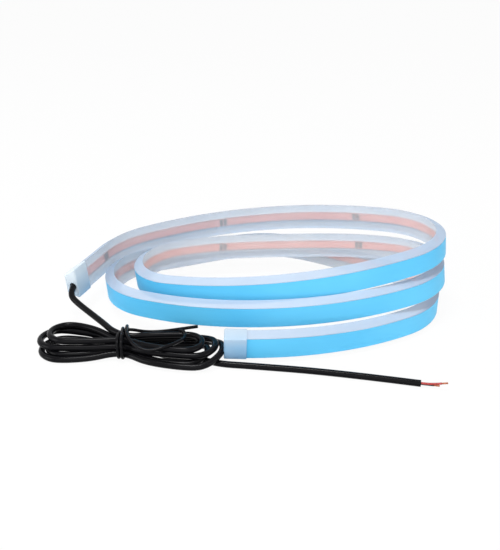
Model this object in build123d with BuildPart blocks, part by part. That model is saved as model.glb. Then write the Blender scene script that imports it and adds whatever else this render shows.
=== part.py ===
# A flexible daytime running light: a silicone light strip that lies in a loose oval coil, on its edge,
# with a capped end at each side and a two-core supply cable that is tied into a hank.
# Millimetres, +Z up. The coil stands on the plane z = 0, with the light face outward all the way round.
import math
import os

from build123d import *

os.makedirs("parts", exist_ok=True)

# Strip section: depth runs outward from the coil's inside, height runs up
strip_height = 12.0
strip_depth = 4.0
shoulder = 1.9
back_wall = 0.7
diffuser_depth = 1.3
fit_gap = 0.05

# Flexible circuit and what is soldered to it
flex_width = 3.8
flex_thick = 0.25
flex_side_gap = 0.2
pad_length = 1.3
pad_width = 3.0
pad_thick = 0.22
pad_spacing = 1.9
unit_length = 65.0
first_pad = 25.5
leds_per_unit = 3
led_length = 3.5
led_width = 2.8
led_thick = 0.8
resistor_length = 2.0
resistor_width = 1.2
resistor_thick = 0.5

# Coil: extremes of the turns at mid height, right side stacked and left side nested
floor_z = strip_height / 2
stack_gap = 0.85
coil_y = 6.35
right_low_x = 76.05
right_mid_x = 77.5
right_high_x = 76.65
left_inner_x = -50.75
left_nest = strip_depth + 9.0
end_nest = strip_depth + 1.6
left_outer_rise = 2.7
left_inner_rise = 7.3
left_end_rise = 10.5

# Half turns: how far each bulges to the front or the back, how tight its curls are, how far its middle is lifted
front_inner = 35.3
front_nest = strip_depth + 2.3
back_inner = 31.1
back_nest = strip_depth + 3.4
back_end_nest = strip_depth + 1.3
curl_share = 0.75
back_inner_lift = -1.1
back_mid_lift = 5.0

# Lean of the strip's walls at each extreme, in degrees, top towards -X
lean_right_high = 6.4
lean_right_mid = 8.4
lean_left_inner = 7.4
lean_left_outer = 5.9
lean_left_end = 8.3

# The two free ends: the cable end runs off straight, the blank end opens outward at the front
cable_end_turn = 16.0
cable_end_run = 27.0
open_curl_radius = 38.5
open_curl_turn = 54.0
open_front_radius = 121.1
open_front_turn = 35.1

# End caps: they follow the strip's section, thin above and below it, thicker before and behind it
cap_edge = 0.35
cap_face = 0.7
cap_overlap = 4.5
cable_cap_end = 5.5
blank_cap_end = 4.2
cap_round = 0.5
cap_ease = 0.4
cap_clearance = 0.2
lead_room = 3.0
lead_room_depth = 2.4
lead_room_height = 6.0

# Supply cable and the cores inside it
cable_diameter = 2.6
core_diameter = 0.8
core_spacing = 1.2
cable_inset = 1.6
cable_drop = 0.9
bend_share = 0.45
wire_sides = 7
exit_run = 4.0
lead_overlap = 2.8
solder_length = 1.8
solder_width = 1.1
solder_height = 1.1
negative_bare = 4.6
positive_bare = 7.4
strand_diameter = 0.25
strand_length = 2.2

# Hank and its tie: the hank narrows to a waist where it is tied, with a loop on each side
tie_diameter = 1.3
tie_sides = 4
floor_gap = 0.05
hank_gap = 3.5
hank_right = 36.4
waist_setback = 1.0
waist_width = 12.0
waist_length = 4.0
hank_height = 7.4
hank_ease = 1.8


def leaning(x, z, angle, height):
    """The point at a height along a wall that leans, measured from the strip's mid height."""
    tilt = math.radians(angle)
    return Vector(x - height * math.sin(tilt), coil_y, z + height * math.cos(tilt))


def half_oval(start, end, side, bulge):
    """The two points where a half oval from start to end changes from curl to flank and back."""
    half_width = (end - start).length / 2
    along = (end - start).normalized()
    across = Vector(0, side, 0)
    curl = curl_share * bulge
    flank = (half_width**2 + bulge**2 - 2 * half_width * curl) / (2 * (bulge - curl))
    turn = math.asin((half_width - curl) / (flank - curl))
    inset = along * (curl - curl * math.sin(turn))
    rise = across * (curl * math.cos(turn))
    return start + inset + rise, end - inset + rise


def rail(height):
    """A line along the whole strip, at a height above its middle: curls and flanks, turn after turn."""
    outer_x = left_inner_x - left_nest
    mid_z = floor_z + strip_height + stack_gap
    high_z = mid_z + strip_height + stack_gap
    left_end = leaning(outer_x - end_nest, floor_z + left_end_rise, lean_left_end, height)
    right_high = leaning(right_high_x, high_z, lean_right_high, height)
    left_inner = leaning(left_inner_x, floor_z + left_inner_rise, lean_left_inner, height)
    right_mid = leaning(right_mid_x, mid_z, lean_right_mid, height)
    left_outer = leaning(outer_x, floor_z + left_outer_rise, lean_left_outer, height)
    right_low = leaning(right_low_x, floor_z, 0, height)
    turns = [
        (right_high, left_inner, -1, front_inner, 0),
        (left_inner, right_mid, 1, back_inner, back_inner_lift),
        (right_mid, left_outer, -1, front_inner + front_nest, 0),
        (left_outer, right_low, 1, back_inner + back_nest, back_mid_lift),
    ]
    with BuildLine() as line:
        # Cable end: a straight run, then the outermost half turn at the back
        back_end = back_inner + back_nest + back_end_nest
        join, next_join = half_oval(left_end, right_high, 1, back_end)
        curl = curl_share * back_end
        along = (right_high - left_end).normalized()
        swing = math.radians(cable_end_turn)
        heading = along * math.sin(swing) + Vector(0, math.cos(swing), 0)
        bend = left_end + along * (curl * (1 - math.cos(swing))) + Vector(0, curl * math.sin(swing), 0)
        Line(bend - heading * cable_end_run, bend)
        arc = TangentArc(bend, join, tangent=heading)
        arc = TangentArc(join, next_join, tangent=arc % 1)
        arc = TangentArc(next_join, right_high, tangent=arc % 1)
        # The turns between, each a curl, a flank and a curl
        for start, end, side, bulge, lift in turns:
            join, next_join = half_oval(start, end, side, bulge)
            middle = (start + end) * 0.5 + Vector(0, side * bulge, lift)
            along = (end - start).normalized()
            arc = TangentArc(start, join, tangent=(0, side, 0))
            leaving = arc % 1
            arriving = along * (2 * leaving.dot(along)) - leaving
            Spline(join, middle, next_join, tangents=(leaving, arriving))
            TangentArc(next_join, end, tangent=arriving)
        # Blank end: opens outward along the front, and climbs by what its cap stands below the strip
        first = math.radians(open_curl_turn)
        last = first + math.radians(open_front_turn)
        curl_reach = open_curl_radius * (1 - math.cos(first))
        front_reach = open_front_radius * (math.cos(first) - math.cos(last))
        climb = (strip_height / 2 + cap_edge + floor_gap - floor_z) / (curl_reach + front_reach)
        along = Vector(-1, 0, climb)
        nearer = Vector(0, -1, 0)
        join = right_low + along * curl_reach + nearer * (open_curl_radius * math.sin(first))
        front = nearer * (open_front_radius * (math.sin(last) - math.sin(first)))
        arc = TangentArc(right_low, join, tangent=(0, -1, 0))
        TangentArc(join, join + along * front_reach + front, tangent=arc % 1)
    return line.wires()[0]


mid_rail = rail(0)
top_rail = rail(strip_height / 2)
strip_length = mid_rail.length


def section_plane(distance):
    """The strip's cross-section at a distance from its cable end: x outward, y up, z along the strip."""
    here = mid_rail.position_at(distance, position_mode=PositionMode.LENGTH)
    above = top_rail.position_at(distance * top_rail.length / strip_length, position_mode=PositionMode.LENGTH)
    along = mid_rail.tangent_at(distance, position_mode=PositionMode.LENGTH)
    outward = (above - here).cross(along)
    return Plane(origin=here, x_dir=outward, z_dir=along)


half_height = strip_height / 2
face_half = half_height - shoulder
rebate = strip_depth - diffuser_depth
trough_floor = flex_width + 2 * flex_side_gap
trough_slope = (face_half - trough_floor / 2) / (strip_depth - back_wall)
flex_back = back_wall + pad_thick + 2 * fit_gap
flex_front = flex_back + flex_thick
cable_end = Plane(section_plane(0).origin, x_dir=section_plane(0).x_dir, z_dir=-section_plane(0).z_dir)
blank_end = section_plane(strip_length)

# Silicone sleeve: a trough with a flat back and sides that slope in to the edges of its open front
with BuildPart() as silicone_sleeve:
    with BuildSketch(section_plane(0)):
        with BuildLine():
            Polyline(
                (0, -half_height),
                (strip_depth, -face_half),
                (back_wall, -trough_floor / 2),
                (back_wall, trough_floor / 2),
                (strip_depth, face_half),
                (0, half_height),
                close=True,
            )
        make_face()
    sweep(path=mid_rail, binormal=top_rail)
silicone_sleeve.part.label = "silicone_sleeve"
export_step(silicone_sleeve.part, "parts/silicone_sleeve.step")

# Diffuser: the coloured light face, a wedge that fills the mouth of the trough
with BuildPart() as diffuser_strip:
    with BuildSketch(section_plane(0)):
        with BuildLine():
            mouth = face_half - 2 * fit_gap
            inner = mouth - diffuser_depth * trough_slope
            Polyline(
                (rebate, -inner),
                (strip_depth, -mouth),
                (strip_depth, mouth),
                (rebate, inner),
                close=True,
            )
        make_face()
    sweep(path=mid_rail, binormal=top_rail)
diffuser_strip.part.label = "diffuser_strip"
export_step(diffuser_strip.part, "parts/diffuser_strip.step")

# Flexible circuit: a thin copper ribbon that lies along the trough's floor
with BuildPart() as flex_circuit:
    with BuildSketch(section_plane(0)):
        with Locations((flex_back, 0)):
            Rectangle(flex_thick, flex_width, align=(Align.MIN, Align.CENTER))
    sweep(path=mid_rail, binormal=top_rail)
flex_circuit.part.label = "flex_circuit"
export_step(flex_circuit.part, "parts/flex_circuit.step")

# Places along the strip: cut marks between the units, light chips evenly spaced, resistors between chips
chip_pitch = unit_length / leds_per_unit
first_chip = first_pad - (first_pad // chip_pitch - 0.5) * chip_pitch
last_place = strip_length - cap_overlap - led_length
unit_count = int((last_place - first_pad) // unit_length) + 1
chip_count = int((last_place - first_chip) // chip_pitch) + 1
cut_places = [first_pad + unit_length * index for index in range(unit_count)]
chip_places = [first_chip + chip_pitch * index for index in range(chip_count)]
resistor_places = [place + chip_pitch for place in cut_places if place + chip_pitch < last_place]
on_base = (Align.MIN, Align.CENTER, Align.CENTER)

# Light chips, on the outward side of the circuit
with BuildPart() as led_chips:
    for place in chip_places:
        with Locations(section_plane(place).location * Pos(flex_front + fit_gap, 0, 0)):
            Box(led_thick, led_width, led_length, align=on_base)
led_chips.part.label = "led_chips"
export_step(led_chips.part, "parts/led_chips.step")

# Resistors, in the gaps between the light chips
with BuildPart() as resistor_chips:
    for place in resistor_places:
        with Locations(section_plane(place).location * Pos(flex_front + fit_gap, 0, 0)):
            Box(resistor_thick, resistor_width, resistor_length, align=on_base)
resistor_chips.part.label = "resistor_chips"
export_step(resistor_chips.part, "parts/resistor_chips.step")

# Tinned pads on the back of the circuit, a pair at each cut mark, one on each side of the cut
with BuildPart() as cut_pads:
    for place in cut_places:
        for shift in (-pad_spacing / 2, pad_spacing / 2):
            with Locations(section_plane(place + shift).location * Pos(back_wall + fit_gap, 0, 0)):
                Box(pad_thick, pad_width, pad_length, align=on_base)
cut_pads.part.label = "cut_pads"
export_step(cut_pads.part, "parts/cut_pads.step")


def section_outline(side, edge):
    """The strip's outer section, grown by one amount at its back and face, by another above and below."""
    back = half_height + edge
    front = face_half + edge - shoulder * side / strip_depth
    depth = strip_depth + side
    corners = [(-side, -back), (0, -back), (depth, -front), (depth, front), (0, back), (-side, back)]
    Polygon(*corners, align=None)


# Blank end cap: a blind socket over the strip's far end
with BuildPart() as blank_end_cap:
    with BuildSketch(blank_end.offset(-cap_overlap)) as outline:
        section_outline(cap_face, cap_edge)
        fillet(outline.vertices(), cap_round)
    extrude(amount=cap_overlap + blank_cap_end)
    tip = blank_end_cap.faces().sort_by(Axis(blank_end.origin, blank_end.z_dir))[-1]
    chamfer(tip.edges(), cap_ease)
    with BuildSketch(blank_end.offset(-cap_overlap)):
        section_outline(cap_clearance, 2 * fit_gap)
    extrude(amount=cap_overlap + cap_clearance, mode=Mode.SUBTRACT)
blank_end_cap.part.label = "blank_end_cap"
export_step(blank_end_cap.part, "parts/blank_end_cap.step")

# Cable end cap: the same socket, a chamber for the soldered leads, and a hole that the cable comes in by
with BuildPart() as cable_end_cap:
    with BuildSketch(cable_end.offset(-cap_overlap)) as outline:
        section_outline(cap_face, cap_edge)
        fillet(outline.vertices(), cap_round)
    extrude(amount=cap_overlap + cable_cap_end)
    tip = cable_end_cap.faces().sort_by(Axis(cable_end.origin, cable_end.z_dir))[-1]
    chamfer(tip.edges(), cap_ease)
    with BuildSketch(cable_end.offset(-cap_overlap)):
        section_outline(cap_clearance, 2 * fit_gap)
    extrude(amount=cap_overlap + cap_clearance, mode=Mode.SUBTRACT)
    with BuildSketch(cable_end):
        with Locations((cable_inset, 0)):
            Rectangle(lead_room_depth, lead_room_height)
    extrude(amount=lead_room, mode=Mode.SUBTRACT)
    with BuildSketch(cable_end):
        with Locations((cable_inset, cable_drop)):
            Circle(cable_diameter / 2 + fit_gap)
    extrude(amount=cable_cap_end, mode=Mode.SUBTRACT)
cable_end_cap.part.label = "cable_end_cap"
export_step(cable_end_cap.part, "parts/cable_end_cap.step")

# The two cores of the cable, bared inside the cap and laid on the circuit
lead_length = lead_overlap + lead_room - fit_gap
lead_depth = flex_front + fit_gap + core_diameter / 2

with BuildPart() as positive_lead:
    with BuildSketch(cable_end.offset(-lead_overlap)):
        with Locations((lead_depth, cable_drop - core_spacing / 2)):
            RegularPolygon(core_diameter / 2, wire_sides)
    extrude(amount=lead_length)
positive_lead.part.label = "positive_lead"
export_step(positive_lead.part, "parts/positive_lead.step")

with BuildPart() as negative_lead:
    with BuildSketch(cable_end.offset(-lead_overlap)):
        with Locations((lead_depth, cable_drop + core_spacing / 2)):
            RegularPolygon(core_diameter / 2, wire_sides)
    extrude(amount=lead_length)
negative_lead.part.label = "negative_lead"
export_step(negative_lead.part, "parts/negative_lead.step")

# Solder over each lead, with the lead's own channel left open
with BuildPart() as solder_joints:
    with BuildSketch(cable_end.offset(-lead_overlap)):
        for side in (-core_spacing / 2, core_spacing / 2):
            with Locations((flex_front + fit_gap, cable_drop + side)):
                Rectangle(solder_height, solder_width, align=(Align.MIN, Align.CENTER))
            with Locations((lead_depth, cable_drop + side)):
                RegularPolygon(core_diameter / 2 + fit_gap, wire_sides, mode=Mode.SUBTRACT)
    extrude(amount=solder_length)
solder_joints.part.label = "solder_joints"
export_step(solder_joints.part, "parts/solder_joints.step")


def bend_radii(points):
    """The bend at each corner of a route: as wide as the shorter of its two runs allows."""
    radii = []
    for before, corner, after in zip(points, points[1:], points[2:]):
        half_turn = math.radians((corner - before).get_angle(after - corner)) / 2
        shorter = min((corner - before).length, (after - corner).length)
        radii.append(bend_share * shorter / math.tan(half_turn))
    return radii


# Hank: the outer shape of the tied bundle, a loop on each side of the waist, with a groove for the tie.
# It lies beside the blank cap.
blank_tip = blank_end.origin + blank_end.z_dir * blank_cap_end
waist_x = blank_tip.X - hank_gap - hank_right
waist_y = blank_end.origin.Y + waist_setback
waist = Vector(waist_x, waist_y, 0)
hank_corners = [
    (-33.2, 0.0),
    (-28.0, -8.0),
    (-21.0, -10.2),
    (-waist_length / 2, -waist_width / 2),
    (waist_length / 2, -waist_width / 2),
    (18.0, -9.9),
    (28.6, -13.2),
    (35.4, -11.4),
    (hank_right, -4.0),
    (31.0, 7.6),
    (18.0, 9.0),
    (waist_length / 2, waist_width / 2),
    (-waist_length / 2, waist_width / 2),
    (-19.0, 15.0),
    (-28.0, 12.4),
    (-33.2, 7.0),
]
waist_plane = Plane((waist_x, waist_y, floor_gap), x_dir=(1, 0, 0), z_dir=(0, 0, 1))
on_floor = (Align.CENTER, Align.CENTER, Align.MIN)
groove = tie_diameter + 2 * fit_gap
top_groove = tie_diameter / 2 + fit_gap

with BuildPart() as cable_hank:
    with BuildSketch(waist_plane):
        Polygon(*hank_corners, align=None)
    extrude(amount=hank_height)
    chamfer(cable_hank.faces().sort_by(Axis.Z)[-1].edges(), hank_ease)
    chamfer(cable_hank.faces().sort_by(Axis.Z)[0].edges(), hank_ease)
    with BuildSketch(waist_plane):
        Rectangle(groove, waist_width)
        Rectangle(groove, waist_width - 2 * groove, mode=Mode.SUBTRACT)
    extrude(amount=hank_height, mode=Mode.SUBTRACT)
    with Locations((waist_x, waist_y, floor_gap)):
        Box(groove, waist_width, groove, align=on_floor, mode=Mode.SUBTRACT)
    with Locations((waist_x, waist_y, floor_gap + hank_height - top_groove)):
        Box(groove, waist_width, top_groove, align=on_floor, mode=Mode.SUBTRACT)
cable_hank.part.label = "cable_hank"
export_step(cable_hank.part, "parts/cable_hank.step")

# Cable from the cap down to the hank
cable_start = cable_end.from_local_coords(Vector(cable_inset, cable_drop, lead_room))
cable_exit = cable_end.from_local_coords(Vector(cable_inset, cable_drop, cable_cap_end))
lead_route = [
    cable_start,
    cable_exit + cable_end.z_dir * exit_run,
    cable_exit + Vector(0.9, -9.8, -3.3),
    waist + Vector(-17.0, 17.0, 7.0),
    waist + Vector(-8.8, 11.5, 5.2),
    waist + Vector(-3.2, 5.5, 4.6),
]

with BuildPart() as cable_lead:
    with BuildLine():
        lead_line = FilletPolyline(*lead_route, radius=bend_radii(lead_route))
    with BuildSketch(Plane(lead_line @ 0, z_dir=lead_line % 0)):
        RegularPolygon(cable_diameter / 2, wire_sides)
    sweep(path=lead_line)
    add(cable_hank.part, mode=Mode.SUBTRACT)
cable_lead.part.label = "cable_lead"
export_step(cable_lead.part, "parts/cable_lead.step")

# Cable from the hank along the front to its bared end
tail_z = cable_diameter / 2 + floor_gap
tail_route = [
    waist + Vector(31.2, -7.9, tail_z),
    waist + Vector(48.6, -8.5, tail_z),
    waist + Vector(82.2, -12.3, tail_z),
    waist + Vector(113.2, -18.9, tail_z),
]

with BuildPart() as cable_tail:
    with BuildLine():
        tail_line = FilletPolyline(*tail_route, radius=bend_radii(tail_route))
    with BuildSketch(Plane(tail_line @ 0, z_dir=tail_line % 0)):
        RegularPolygon(cable_diameter / 2, wire_sides)
    sweep(path=tail_line)
    add(cable_hank.part, mode=Mode.SUBTRACT)
cable_tail.part.label = "cable_tail"
export_step(cable_tail.part, "parts/cable_tail.step")

# Twist tie: a band round the waist, a free strand that curls over the right loop, and its cut end
strand_z = floor_gap + hank_height + tie_diameter / 2 + fit_gap
strand_route = [
    waist + Vector(0.0, -2.0, strand_z),
    waist + Vector(14.0, -7.5, strand_z),
    waist + Vector(22.0, -5.0, strand_z),
    waist + Vector(24.0, 1.5, strand_z),
    waist + Vector(18.7, 6.5, strand_z + 0.4),
]
cut_end = waist + Vector(29.2, 7.0, strand_z + 2.0)

with BuildPart() as twist_tie:
    band_width = waist_width - 2 * fit_gap
    band_height = hank_height - fit_gap + tie_diameter / 2
    with Locations((waist_x, waist_y, floor_gap + fit_gap)):
        Box(tie_diameter, band_width, band_height, align=on_floor)
    with Locations((waist_x, waist_y, floor_gap + fit_gap + tie_diameter)):
        core_width = band_width - 2 * tie_diameter
        core_height = band_height - 2 * tie_diameter
        Box(tie_diameter, core_width, core_height, align=on_floor, mode=Mode.SUBTRACT)
    with BuildLine():
        strand_line = FilletPolyline(*strand_route, radius=bend_radii(strand_route))
    with BuildSketch(Plane(strand_line @ 0, z_dir=strand_line % 0)):
        RegularPolygon(tie_diameter / 2, tie_sides)
    sweep(path=strand_line)
    with BuildLine():
        end_line = Line(strand_line @ 1, cut_end)
    with BuildSketch(Plane(end_line @ 0, z_dir=end_line % 0)):
        RegularPolygon(tie_diameter / 2, tie_sides)
    sweep(path=end_line)
twist_tie.part.label = "twist_tie"
export_step(twist_tie.part, "parts/twist_tie.step")

# The bared cores at the cable's far end, one longer than the other, each ending in a few strands
far_end = Plane(tail_line @ 1, x_dir=(0, 0, 1), z_dir=tail_line % 1)
core_offset = core_spacing / 2 / math.sqrt(2)
positive_at = (core_offset, core_offset)
negative_at = (-core_offset, -core_offset)

with BuildPart() as positive_core:
    with BuildSketch(far_end):
        with Locations(positive_at):
            RegularPolygon(core_diameter / 2, wire_sides)
    extrude(amount=positive_bare)
positive_core.part.label = "positive_core"
export_step(positive_core.part, "parts/positive_core.step")

with BuildPart() as negative_core:
    with BuildSketch(far_end):
        with Locations(negative_at):
            RegularPolygon(core_diameter / 2, wire_sides)
    extrude(amount=negative_bare)
negative_core.part.label = "negative_core"
export_step(negative_core.part, "parts/negative_core.step")

with BuildPart() as core_strands:
    for centre, bare in ((positive_at, positive_bare), (negative_at, negative_bare)):
        with BuildSketch(far_end.offset(bare)):
            with Locations(centre):
                with PolarLocations(strand_diameter, 3):
                    RegularPolygon(strand_diameter / 2, tie_sides)
        extrude(amount=strand_length)
core_strands.part.label = "core_strands"
export_step(core_strands.part, "parts/core_strands.step")

print("strip length", round(strip_length, 1))
print("lead radii", [round(radius, 1) for radius in bend_radii(lead_route)])
print("tail radii", [round(radius, 1) for radius in bend_radii(tail_route)])
print("strand radii", [round(radius, 1) for radius in bend_radii(strand_route)])
for name, tube, line in (("lead", cable_lead, lead_line), ("tail", cable_tail, tail_line)):
    whole = math.pi * cable_diameter**2 / 4 * line.length
    print(name, "volume", round(tube.part.volume), "of whole tube", round(whole))
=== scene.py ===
# A flexible daytime running light: a silicone light strip in a loose oval coil, with its tied supply cable.
# The pieces are dressed in the order in which the strip is put together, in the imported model's frame.
import math

import bmesh
import bpy
from mathutils import Matrix, Vector


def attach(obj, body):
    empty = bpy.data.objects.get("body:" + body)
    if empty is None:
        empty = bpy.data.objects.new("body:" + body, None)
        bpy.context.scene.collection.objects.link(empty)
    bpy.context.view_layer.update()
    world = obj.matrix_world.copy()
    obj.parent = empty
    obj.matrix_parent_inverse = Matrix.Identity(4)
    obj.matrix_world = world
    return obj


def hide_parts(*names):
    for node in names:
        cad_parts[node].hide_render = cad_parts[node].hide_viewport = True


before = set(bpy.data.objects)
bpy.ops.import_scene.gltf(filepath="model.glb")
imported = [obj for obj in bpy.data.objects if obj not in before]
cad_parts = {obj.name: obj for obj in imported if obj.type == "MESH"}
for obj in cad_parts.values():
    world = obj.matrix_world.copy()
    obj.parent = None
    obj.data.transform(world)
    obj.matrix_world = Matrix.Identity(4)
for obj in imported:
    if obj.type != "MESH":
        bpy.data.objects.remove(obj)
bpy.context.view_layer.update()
MM = 0.001


# Flexible circuit
# A thin ribbon of copper on film along the trough's floor, laid in before the light face is cast over it.
# The copper is pale and pink through the film, and a little uneven in colour.
class Socket:
    """A node's output: operators add Math nodes, and node() adds a node of any other kind."""

    def __init__(self, tree, output):
        self.tree = tree
        self.output = output

    def node(self, kind, settings, inputs, output=0):
        made = self.tree.nodes.new(kind)
        for name, value in settings.items():
            if name == "stops":
                ramp = made.color_ramp.elements
                while len(ramp) < len(value):
                    ramp.new(1.0)
                for stop, (place, colour) in zip(ramp, value):
                    stop.position = place
                    stop.color = (*colour, 1.0)
            else:
                setattr(made, name, value)
        for name, value in inputs.items():
            if isinstance(value, Socket):
                self.tree.links.new(value.output, made.inputs[name])
            else:
                made.inputs[name].default_value = value
        return Socket(self.tree, made.outputs[output])

    def math(self, operation, first, second):
        return self.node("ShaderNodeMath", {"operation": operation}, {0: first, 1: second})

    def __add__(self, other):
        return self.math("ADD", self, other)

    def __radd__(self, other):
        return self.math("ADD", other, self)

    def __mul__(self, other):
        return self.math("MULTIPLY", self, other)

    def __rmul__(self, other):
        return self.math("MULTIPLY", other, self)

    def noise(self, scale, detail):
        return self.node("ShaderNodeTexNoise", {}, {"Vector": self, "Scale": scale, "Detail": detail})

    def ramp(self, *stops):
        return self.node("ShaderNodeValToRGB", {"stops": stops}, {"Fac": self})

    def bump(self, strength, distance):
        return self.node(
            "ShaderNodeBump", {}, {"Height": self, "Strength": strength, "Distance": distance}
        )


def start_material(name):
    """A new material, the object coordinates that its patterns read, and its finishing node."""
    material = bpy.data.materials.new(name)
    material.use_nodes = True
    tree = material.node_tree
    finish = tree.nodes["Principled BSDF"]
    coordinates = tree.nodes.new("ShaderNodeTexCoord")
    return material, Socket(tree, coordinates.outputs["Object"]), finish


def finish_with(finish, place, **inputs):
    """Sets the finishing node's sockets: a Socket is linked, and a number or colour is set directly."""
    for name, value in inputs.items():
        socket = finish.inputs[name.replace("_", " ")]
        if isinstance(value, Socket):
            place.tree.links.new(value.output, socket)
        else:
            socket.default_value = value


def merged_copy(node, edge_turn):
    """A copy of a CAD node's mesh with its triangles joined up, as a bmesh with the sharp edges marked."""
    weld_distance = 0.001 * MM
    form = bmesh.new()
    form.from_mesh(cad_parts[node].data)
    bmesh.ops.remove_doubles(form, verts=form.verts, dist=weld_distance)
    for face in form.faces:
        face.smooth = True
    for edge in form.edges:
        edge.smooth = edge.calc_face_angle(math.pi) < math.radians(edge_turn)
    return form


def add_piece(name, form, *materials):
    """Turns a finished bmesh into an object of its own, at the origin."""
    mesh = bpy.data.meshes.new(name)
    form.to_mesh(mesh)
    form.free()
    for material in materials:
        mesh.materials.append(material)
    piece = bpy.data.objects.new(name, mesh)
    bpy.context.scene.collection.objects.link(piece)
    return piece


copper_film, place, finish = start_material("copper_film")
mottle = place.noise(scale=260.0, detail=3.0)
finish_with(
    finish,
    place,
    Base_Color=mottle.ramp((0.3, (0.90, 0.34, 0.28)), (0.7, (0.96, 0.40, 0.34))),
    Roughness=0.42 + 0.14 * mottle,
    Metallic=0.1,
)
edge_turn = 40.0
ribbon = add_piece("circuit_ribbon", merged_copy("flex_circuit", edge_turn), copper_film)
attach(ribbon, "root")
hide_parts("flex_circuit")


# Cut marks, light chips and resistors
# Soldered to the circuit by machine: tinned pads at each cut mark, moulded chips with a yellow phosphor
# window, and black resistors. Their solids have the right shape and only get their finish here.
def dress(node, material):
    """Gives a CAD node its finish through its object's material slot."""
    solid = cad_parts[node]
    if not solid.material_slots:
        solid.data.materials.append(material)
    solid.material_slots[0].material = material


tinned, place, finish = start_material("tinned_pad")
drawn = place.noise(scale=900.0, detail=4.0)
finish_with(
    finish,
    place,
    Base_Color=drawn.ramp((0.35, (0.020, 0.022, 0.035)), (0.7, (0.060, 0.065, 0.085))),
    Roughness=0.35 + 0.25 * drawn,
    Metallic=0.4,
    Normal=drawn.bump(strength=0.3, distance=0.05 * MM),
)
dress("cut_pads", tinned)

phosphor, place, finish = start_material("phosphor_window")
grain = place.noise(scale=1400.0, detail=3.0)
finish_with(
    finish,
    place,
    Base_Color=grain.ramp((0.35, (0.78, 0.62, 0.10)), (0.7, (0.90, 0.78, 0.24))),
    Roughness=0.45 + 0.2 * grain,
)
dress("led_chips", phosphor)

resistor_body, place, finish = start_material("resistor_body")
grain = place.noise(scale=1800.0, detail=3.0)
finish_with(
    finish,
    place,
    Base_Color=grain.ramp((0.35, (0.012, 0.012, 0.014)), (0.7, (0.035, 0.034, 0.036))),
    Roughness=0.4 + 0.2 * grain,
)
dress("resistor_chips", resistor_body)


# Light face
# Ice-blue silicone cast over the chips, which spreads their light. It is satin, slightly uneven in thickness,
# and so a little lighter and darker in long soft patches.
light_blue, place, finish = start_material("light_face_blue")
patches = place.noise(scale=22.0, detail=2.0)
skin = place.noise(scale=1500.0, detail=2.0)
finish_with(
    finish,
    place,
    Base_Color=patches.ramp((0.3, (0.090, 0.530, 0.890)), (0.7, (0.135, 0.600, 0.930))),
    Roughness=0.42 + 0.12 * patches,
    Specular_IOR_Level=0.25,
    Normal=skin.bump(strength=0.08, distance=0.05 * MM),
)
light_face = add_piece("light_face", merged_copy("diffuser_strip", edge_turn), light_blue)
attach(light_face, "root")
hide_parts("diffuser_strip")


# Silicone sleeve
# The extruded trough that carries everything. Its sloping sides are milky. Its back and the trough's floor
# are clearer, because only a thin wall covers the circuit there, and the trough's own sides are chalky white.
def silicone(name, cover, pale, deep):
    """Milky silicone: cover is how much of what lies behind each of its surfaces is hidden."""
    unevenness = 0.1
    material, place, finish = start_material(name)
    cloud = place.noise(scale=45.0, detail=3.0)
    skin = place.noise(scale=1100.0, detail=2.0)
    finish_with(
        finish,
        place,
        Base_Color=cloud.ramp((0.3, deep), (0.7, pale)),
        Roughness=0.34 + 0.14 * cloud,
        Alpha=(cover - unevenness / 2) + unevenness * cloud,
        Normal=skin.bump(strength=0.06, distance=0.05 * MM),
    )
    return material


def bands_by_area(form):
    """The surfaces between the sharp edges, as lists of faces, largest first."""
    left = set(form.faces)
    bands = []
    while left:
        band = [left.pop()]
        for face in band:
            for edge in face.edges:
                for other in edge.link_faces if edge.smooth else ():
                    if other in left:
                        left.remove(other)
                        band.append(other)
        bands.append(band)
    return sorted(bands, key=lambda band: -sum(face.calc_area() for face in band))


milky_side = silicone("silicone_side", cover=0.75, pale=(0.42, 0.54, 0.70), deep=(0.38, 0.50, 0.67))
clear_back = silicone("silicone_back", cover=0.37, pale=(0.95, 0.98, 1.00), deep=(0.90, 0.95, 0.99))
clear_floor = silicone("silicone_floor", cover=0.10, pale=(0.86, 0.91, 0.96), deep=(0.80, 0.87, 0.94))
chalky_wall = silicone("silicone_wall", cover=0.90, pale=(0.84, 0.91, 0.98), deep=(0.78, 0.86, 0.95))
form = merged_copy("silicone_sleeve", edge_turn)
# By area, the two sloping sides come after the back, and they keep the first finish
back, _, _, trough_floor, *trough_walls = bands_by_area(form)
for index, bands in enumerate(([back], [trough_floor], trough_walls), start=1):
    for face in sum(bands, []):
        face.material_index = index
sleeve = add_piece("sleeve", form, milky_side, clear_back, clear_floor, chalky_wall)
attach(sleeve, "root")
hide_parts("silicone_sleeve")


# End caps
# Moulded milky silicone sockets, glued over the two ends of the strip. They are cloudier than the sleeve.
# Their colour is partly painted light: the light face's blue shining through them is painted in towards the
# floor, fading to pale at the top.
milky_cap, place, finish = start_material("cap_silicone")
cloud = place.noise(scale=45.0, detail=3.0)
# Painted light: the light face's blue glowing through the cap, painted as a colour ramp over height, bluest
# near the floor
painted_glow_top = 20.0 * MM
height = place.node("ShaderNodeSeparateXYZ", {}, {"Vector": place}, output="Z")
painted_glow_rise = height * (1.0 / painted_glow_top)
finish_with(
    finish,
    place,
    Base_Color=painted_glow_rise.ramp(
        (0.05, (0.23, 0.45, 0.71)),
        (0.35, (0.28, 0.52, 0.76)),
        (0.62, (0.51, 0.63, 0.75)),
        (0.95, (0.78, 0.88, 0.95)),
    ),
    Roughness=0.34 + 0.14 * cloud,
    Alpha=0.78 + 0.1 * cloud,
)
for node, name in (("cable_end_cap", "cable_cap"), ("blank_end_cap", "blank_cap")):
    cap = add_piece(name, merged_copy(node, edge_turn), milky_cap)
    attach(cap, "root")
    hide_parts(node)


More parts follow.
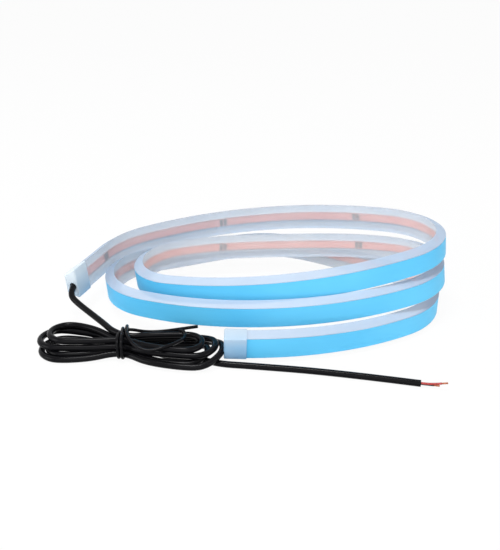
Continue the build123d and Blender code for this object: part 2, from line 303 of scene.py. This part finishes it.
# Leads and solder
# The cable's two cores, bared and soldered to the circuit inside the cable cap. The solder has the same
# tinned finish as the pads.
copper_wire, place, finish = start_material("copper_wire")
drawn = place.noise(scale=2200.0, detail=3.0)
finish_with(
    finish,
    place,
    Base_Color=drawn.ramp((0.35, (0.34, 0.11, 0.06)), (0.7, (0.56, 0.22, 0.12))),
    Roughness=0.28 + 0.2 * drawn,
    Metallic=0.9,
)
dress("positive_lead", copper_wire)
dress("negative_lead", copper_wire)
dress("solder_joints", tinned)


# Supply cable
# A limp two-core cable with a black vinyl jacket. It leaves the cable cap, runs down to the hank, goes
# round it four times with a last pass through the waist, and ends as a short tail along the front.
cable_diameter = 2.6 * MM
waist = (-53.198, -46.91)
lead_route = [
    (-77.704, -13.002, 14.663),
    (-78.30, -17.40, 14.20),
    (-77.80, -21.20, 12.30),
    (-74.80, -24.00, 10.80),
    (-68.40, -29.60, 9.00),
    (-61.60, -36.80, 8.00),
    (-57.20, -42.40, 7.50),
]
tail_route = [
    (-13.40, -55.20, 1.35),
    (-4.60, -55.80, 1.35),
    (29.00, -59.40, 1.35),
    (60.002, -65.81, 1.35),
]


def loop(side, start, end, reach, out, back, heights):
    """A loop of the hank at one side of the waist: a run out, a half circle and a run back.

    start and end are its (y, z) at the waist, out and back the y of its two runs, and heights
    the z of the run out, the tip and the run back.
    """
    clear_of_waist = 3.0
    fans_out_at = 10.5
    fanned = 0.64
    settled = 0.75
    radius = abs(out - back) / 2
    bow = reach - radius
    # Four corners of an octagon round the tip bring the spline close to a half circle
    corner = radius * math.tan(math.pi / 8)
    lean = corner if out > back else -corner
    middle = (out + back) / 2
    over_out, over_tip, over_back = heights
    out_y = start[0] + (out - start[0]) * fanned
    back_y = end[0] + (back - end[0]) * fanned
    points = [
        (clear_of_waist, *start),
        (fans_out_at, out_y, start[1] * (1 - settled) + over_out * settled),
        (bow - corner, out, over_out),
        (bow + corner, out, over_out),
        (reach, middle + lean, over_tip),
        (reach, middle - lean, over_tip),
        (bow + corner, back, over_back),
        (bow - corner, back, over_back),
        (fans_out_at, back_y, end[1] * (1 - settled) + over_back * settled),
        (clear_of_waist, *end),
    ]
    return [(side * x, y, z) for x, y, z in points]


# Where each turn goes through the waist, as (y, z)
back_slots = [(1.5, 6.95), (3.0, 4.9), (4.4, 2.7), (1.4, 2.7), (0.0, 4.9)]
front_slots = [(-1.5, 6.95), (-3.0, 4.9), (-4.4, 2.7), (-1.5, 2.7)]
# Each loop's reach from the waist, the y of its run out and run back, and its heights
right_sizes = [
    (31.4, 4.9, -7.8, (6.7, 6.7, 6.7)),
    (36.6, 7.5, -8.6, (4.1, 5.6, 4.7)),
    (39.4, 9.4, -12.7, (1.35, 4.8, 2.2)),
    (33.6, 6.5, -10.0, (1.35, 3.6, 1.9)),
]
left_sizes = [
    (28.4, -2.8, 10.8, (6.7, 6.7, 6.7)),
    (32.2, -3.6, 10.4, (4.1, 4.2, 4.4)),
    (31.2, -7.8, 9.4, (1.35, 1.35, 1.35)),
    (28.6, -4.8, 6.9, (1.8, 1.8, 1.8)),
]
hank_points = []
for turn, (right_size, left_size) in enumerate(zip(right_sizes, left_sizes)):
    hank_points += loop(1, back_slots[turn], front_slots[turn], *right_size)
    hank_points += loop(-1, front_slots[turn], back_slots[turn + 1], *left_size)
last_pass = [
    (3.0, 0.0, 4.9),
    (11.0, -2.0, 3.4),
    (19.0, -4.4, 1.6),
    (27.0, -5.2, 1.35),
    (33.0, -5.8, 1.35),
]


def from_waist(points):
    """Places points that are given from the middle of the hank's waist."""
    return [(waist[0] + x, waist[1] + y, z) for x, y, z in points]


cable_points = lead_route + from_waist(hank_points + last_pass) + tail_route


def strand(name, points, diameter, material):
    """A round strand along one open spline, whose control points are given in millimetres."""
    curve = bpy.data.curves.new(name, "CURVE")
    curve.dimensions = "3D"
    spline = curve.splines.new("NURBS")
    spline.points.add(len(points) - 1)
    for point, (x, y, z) in zip(spline.points, points):
        point.co = (x * MM, y * MM, z * MM, 1.0)
    spline.order_u = 3
    spline.use_endpoint_u = True
    spline.resolution_u = 6
    curve.bevel_depth = diameter / 2
    curve.bevel_resolution = 4
    curve.use_fill_caps = True
    curve.materials.append(material)
    piece = bpy.data.objects.new(name, curve)
    bpy.context.scene.collection.objects.link(piece)
    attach(piece, "root")
    return piece


black_vinyl, place, finish = start_material("black_vinyl")
handling = place.noise(scale=120.0, detail=4.0)
skin = place.noise(scale=2600.0, detail=2.0)
finish_with(
    finish,
    place,
    Base_Color=handling.ramp((0.3, (0.002, 0.002, 0.003)), (0.75, (0.005, 0.005, 0.006))),
    Roughness=0.16 + 0.10 * handling,
    Specular_IOR_Level=0.08,
    Normal=skin.bump(strength=0.1, distance=0.05 * MM),
)
cable = strand("supply_cable", cable_points, cable_diameter, black_vinyl)
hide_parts("cable_lead", "cable_hank", "cable_tail")


# Twist tie
# A plastic-coated wire: a straight cut end behind the right loop, two turns round the hank's waist,
# the second slack, and a free run that curls over the right loop and is tucked in behind it.
tie_diameter = 1.3 * MM
wraps = 2
points_a_wrap = 12
wrap_start = -1.2
wrap_pitch = 1.6
wrap_sway = 0.5
wrap_half_width = 6.9
wrap_half_height = 4.25
wrap_middle = 5.0
corner_fullness = 0.2
slack_across = 1.4
slack_above = 0.6
tie_points = [
    (29.2, 6.0, 9.9),
    (22.4, 6.7, 8.3),
    (15.6, 7.4, 6.7),
    (8.6, 6.6, 6.6),
    (2.0, 4.4, 9.0),
]
for step in range(wraps * points_a_wrap + 1):
    angle = 2 * math.pi * step / points_a_wrap
    slack = (step / (wraps * points_a_wrap)) ** 2
    square = 1.0 + corner_fullness * math.sin(2 * angle) ** 2
    along = wrap_start + wrap_pitch * step / points_a_wrap + wrap_sway * math.sin(angle)
    across = -(wrap_half_width + slack_across * slack) * square * math.sin(angle)
    above = wrap_half_height * square * math.cos(angle) + slack_above * slack * (1.0 + math.cos(angle))
    tie_points.append((along, across, wrap_middle + above))
tie_points += [
    (3.4, -4.6, 9.8),
    (6.6, -8.6, 8.2),
    (12.0, -10.2, 7.0),
    (18.8, -8.2, 8.4),
    (23.4, -3.8, 8.6),
    (25.0, 1.2, 8.0),
    (23.6, 5.0, 8.8),
    (20.4, 7.8, 7.0),
    (17.0, 8.6, 5.6),
]
tie = strand("twist_tie_wire", from_waist(tie_points), tie_diameter, black_vinyl)
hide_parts("twist_tie")


# Bared cores
# The cable's far end: its two insulated cores come out of the jacket, one longer than the other,
# and each ends in a bared twist of fine copper wire.
core_diameter = 0.8 * MM
inside_jacket = 1.0
far_end = Vector(tail_route[-1])
far_run = (far_end - Vector(tail_route[-2])).normalized()
far_side = Vector((0, 0, 1)).cross(far_run)


def core_insulation(name, light, dark):
    """Coloured vinyl on a core, slightly dusty."""
    material, place, finish = start_material(name)
    handling = place.noise(scale=700.0, detail=3.0)
    finish_with(
        finish,
        place,
        Base_Color=handling.ramp((0.3, dark), (0.7, light)),
        Roughness=0.32 + 0.16 * handling,
    )
    return material


red_vinyl = core_insulation("red_vinyl", light=(0.42, 0.020, 0.014), dark=(0.30, 0.012, 0.010))
core_black = core_insulation("core_black_vinyl", light=(0.020, 0.020, 0.022), dark=(0.008, 0.008, 0.009))
core_ends = []
for name, node, slot_name, length, offset, spread, material in (
    ("positive_core_wire", "positive_core", "red_core", 7.4, 0.42, 0.9, red_vinyl),
    ("negative_core_wire", "negative_core", "black_core", 4.6, -0.42, 0.1, core_black),
):
    root = far_end - far_run * inside_jacket + Vector((0, 0, offset)) - far_side * offset
    points = [
        root,
        root + far_run * (length * 0.4),
        root + far_run * (length * 0.8) + Vector((0, 0, spread * 0.4)),
        root + far_run * (length + inside_jacket) + Vector((0, 0, spread)),
    ]
    core = strand(name, [tuple(point) for point in points], core_diameter, material)
    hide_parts(node)
    core_ends.append((points[-1], (points[-1] - points[-2]).normalized()))


def bared_twist_tree():
    """Fine wires round a core's axis, twisted together: the axis is the line that the tree is given."""
    tree = bpy.data.node_groups.new("bared_twist", "GeometryNodeTree")
    tree.interface.new_socket("Geometry", in_out="OUTPUT", socket_type="NodeSocketGeometry")
    tree.interface.new_socket("Geometry", in_out="INPUT", socket_type="NodeSocketGeometry")
    for name, kind in (
        ("Wires", "NodeSocketInt"),
        ("Wire radius", "NodeSocketFloat"),
        ("Bundle radius", "NodeSocketFloat"),
        ("Twist", "NodeSocketFloat"),
        ("Material", "NodeSocketMaterial"),
    ):
        tree.interface.new_socket(name, in_out="INPUT", socket_type=kind)
    group_in = tree.nodes.new("NodeGroupInput")
    group_out = tree.nodes.new("NodeGroupOutput")

    def add(kind, settings, inputs):
        made = tree.nodes.new(kind)
        for name, value in settings.items():
            setattr(made, name, value)
        for name, value in inputs.items():
            if isinstance(value, bpy.types.NodeSocket):
                tree.links.new(value, made.inputs[name])
            else:
                made.inputs[name].default_value = value
        return made

    given = group_in.outputs
    ring = add("GeometryNodeMeshCircle", {}, {"Vertices": given["Wires"], "Radius": given["Bundle radius"]})
    line = add("GeometryNodeResampleCurve", {}, {"Curve": given["Geometry"], "Count": 12})
    # Each wire is a copy of the axis, set off from it by one point of the ring and turned along its run
    copies = add(
        "GeometryNodeInstanceOnPoints",
        {},
        {"Points": ring.outputs["Mesh"], "Instance": line.outputs["Curve"]},
    )
    wires = add("GeometryNodeRealizeInstances", {}, {"Geometry": copies.outputs["Instances"]})
    run = add("GeometryNodeSplineParameter", {}, {})
    turn = add("ShaderNodeMath", {"operation": "MULTIPLY"}, {0: run.outputs["Factor"], 1: given["Twist"]})
    here = add("GeometryNodeInputPosition", {}, {})
    turned = add(
        "ShaderNodeVectorRotate",
        {"rotation_type": "Z_AXIS"},
        {"Vector": here.outputs[0], "Angle": turn.outputs[0]},
    )
    twisted = add(
        "GeometryNodeSetPosition",
        {},
        {"Geometry": wires.outputs[0], "Position": turned.outputs[0]},
    )
    outline = add("GeometryNodeCurvePrimitiveCircle", {}, {"Resolution": 8, "Radius": given["Wire radius"]})
    tubes = add(
        "GeometryNodeCurveToMesh",
        {},
        {"Curve": twisted.outputs[0], "Profile Curve": outline.outputs["Curve"], "Fill Caps": True},
    )
    whole = add("GeometryNodeRealizeInstances", {}, {"Geometry": tubes.outputs[0]})
    coated = add("GeometryNodeSetMaterial", {}, {"Geometry": whole.outputs[0], "Material": given["Material"]})
    tree.links.new(coated.outputs[0], group_out.inputs[0])
    return tree


bare_length = 2.2
wire_values = {
    "Wires": 6,
    "Wire radius": 0.11 * MM,
    "Bundle radius": 0.24 * MM,
    "Twist": 2.4,
    "Material": copper_wire,
}
twist_tree = bared_twist_tree()
twist_form = bmesh.new()
for end, heading in core_ends:
    axis = bpy.data.curves.new("bare_axis", "CURVE")
    axis.dimensions = "3D"
    axis_line = axis.splines.new("POLY")
    axis_line.points.add(1)
    axis_line.points[1].co = (0, 0, bare_length * MM, 1)
    holder = bpy.data.objects.new("bare_axis", axis)
    bpy.context.scene.collection.objects.link(holder)
    modifier = holder.modifiers.new("twist", "NODES")
    modifier.node_group = twist_tree
    for item in twist_tree.interface.items_tree:
        if item.in_out == "INPUT" and item.name in wire_values:
            modifier[item.identifier] = wire_values[item.name]
    bpy.context.view_layer.update()
    whole = holder.evaluated_get(bpy.context.evaluated_depsgraph_get())
    mesh = bpy.data.meshes.new_from_object(whole)
    mesh.transform(Matrix.Translation(end * MM) @ heading.to_track_quat("Z", "Y").to_matrix().to_4x4())
    twist_form.from_mesh(mesh)
    bpy.data.objects.remove(holder)
for face in twist_form.faces:
    face.smooth = len(face.verts) == 4
bare_wires = add_piece("bare_wires", twist_form, copper_wire)
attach(bare_wires, "root")
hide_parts("core_strands")


# Studio
# A white sheet for a floor, soft light from all round, soft boxes above, in front and at both sides,
# and the camera a little above the coil. The sheet keeps the strip's faint shadow.
def rays_that_see_white(tree):
    """1 for rays that show the background itself: from the camera, or by way of gloss or clear material."""
    path = tree.nodes.new("ShaderNodeLightPath")
    camera = Socket(tree, path.outputs["Is Camera Ray"])
    glossy = Socket(tree, path.outputs["Is Glossy Ray"])
    through = Socket(tree, path.outputs["Is Transmission Ray"])
    return camera.math("MAXIMUM", camera.math("MAXIMUM", camera, glossy), through)


sheet_half = 3.0
form = bmesh.new()
bmesh.ops.create_grid(form, x_segments=1, y_segments=1, size=sheet_half)
white_sheet, place, finish = start_material("white_sheet")
paper = place.noise(scale=30.0, detail=2.0)
finish_with(
    finish,
    place,
    Base_Color=paper.ramp((0.3, (0.88, 0.88, 0.88)), (0.7, (0.90, 0.90, 0.90))),
    Roughness=0.9,
)
glow = place.node("ShaderNodeEmission", {}, {"Color": (1, 1, 1, 1), "Strength": 1.0})
lit = Socket(place.tree, finish.outputs["BSDF"])
kept_white = 0.95
mixed = place.node(
    "ShaderNodeMixShader", {}, {0: rays_that_see_white(place.tree) * kept_white, 1: lit, 2: glow}
)
place.tree.links.new(mixed.output, place.tree.nodes["Material Output"].inputs["Surface"])
floor = add_piece("floor_sheet", form, white_sheet)

world = bpy.data.worlds.new("studio")
bpy.context.scene.world = world
world.use_nodes = True
room_light = 0.40
background = world.node_tree.nodes["Background"]
background.inputs["Color"].default_value = (1.0, 1.0, 1.0, 1.0)
seen = rays_that_see_white(world.node_tree)
level = seen * (1.0 - room_light) + room_light
world.node_tree.links.new(level.output, background.inputs["Strength"])


def soft_lamp(name, place, target, size, power):
    """A square soft box that points at a target."""
    light = bpy.data.lights.new(name, "AREA")
    light.size = size
    light.energy = power
    lamp = bpy.data.objects.new(name, light)
    lamp.location = place
    lamp.rotation_euler = (Vector(target) - Vector(place)).to_track_quat("-Z", "Y").to_euler()
    bpy.context.scene.collection.objects.link(lamp)


coil_middle = (0.0, 0.0, 0.02)
soft_lamp("top_box", (-0.10, -0.15, 0.75), coil_middle, size=0.20, power=3.6)
soft_lamp("front_box", (-0.05, -1.00, 0.45), coil_middle, size=1.0, power=3.2)
soft_lamp("left_box", (-0.90, -0.45, 0.35), coil_middle, size=0.6, power=4.0)
soft_lamp("right_box", (0.80, -0.50, 0.10), coil_middle, size=0.5, power=2.0)

camera_data = bpy.data.cameras.new("photo_camera")
camera_data.lens = 51.384
camera_data.sensor_width = 36.0
camera_data.sensor_fit = "AUTO"
camera = bpy.data.objects.new("photo_camera", camera_data)
bpy.context.scene.collection.objects.link(camera)
bpy.context.scene.camera = camera
camera_place = Vector((-3.92, -316.58, 150.21)) * MM
look_down = math.radians(23.13)
roll = math.radians(1.41)
forward = Vector((0, math.cos(look_down), -math.sin(look_down)))
level_right = Vector((1, 0, 0))
level_up = level_right.cross(forward)
right = level_right * math.cos(roll) + level_up * math.sin(roll)
up = level_up * math.cos(roll) - level_right * math.sin(roll)
camera.matrix_world = Matrix.Translation(camera_place) @ Matrix((right, up, -forward)).transposed().to_4x4()
bpy.context.scene.view_settings.view_transform = "Standard"
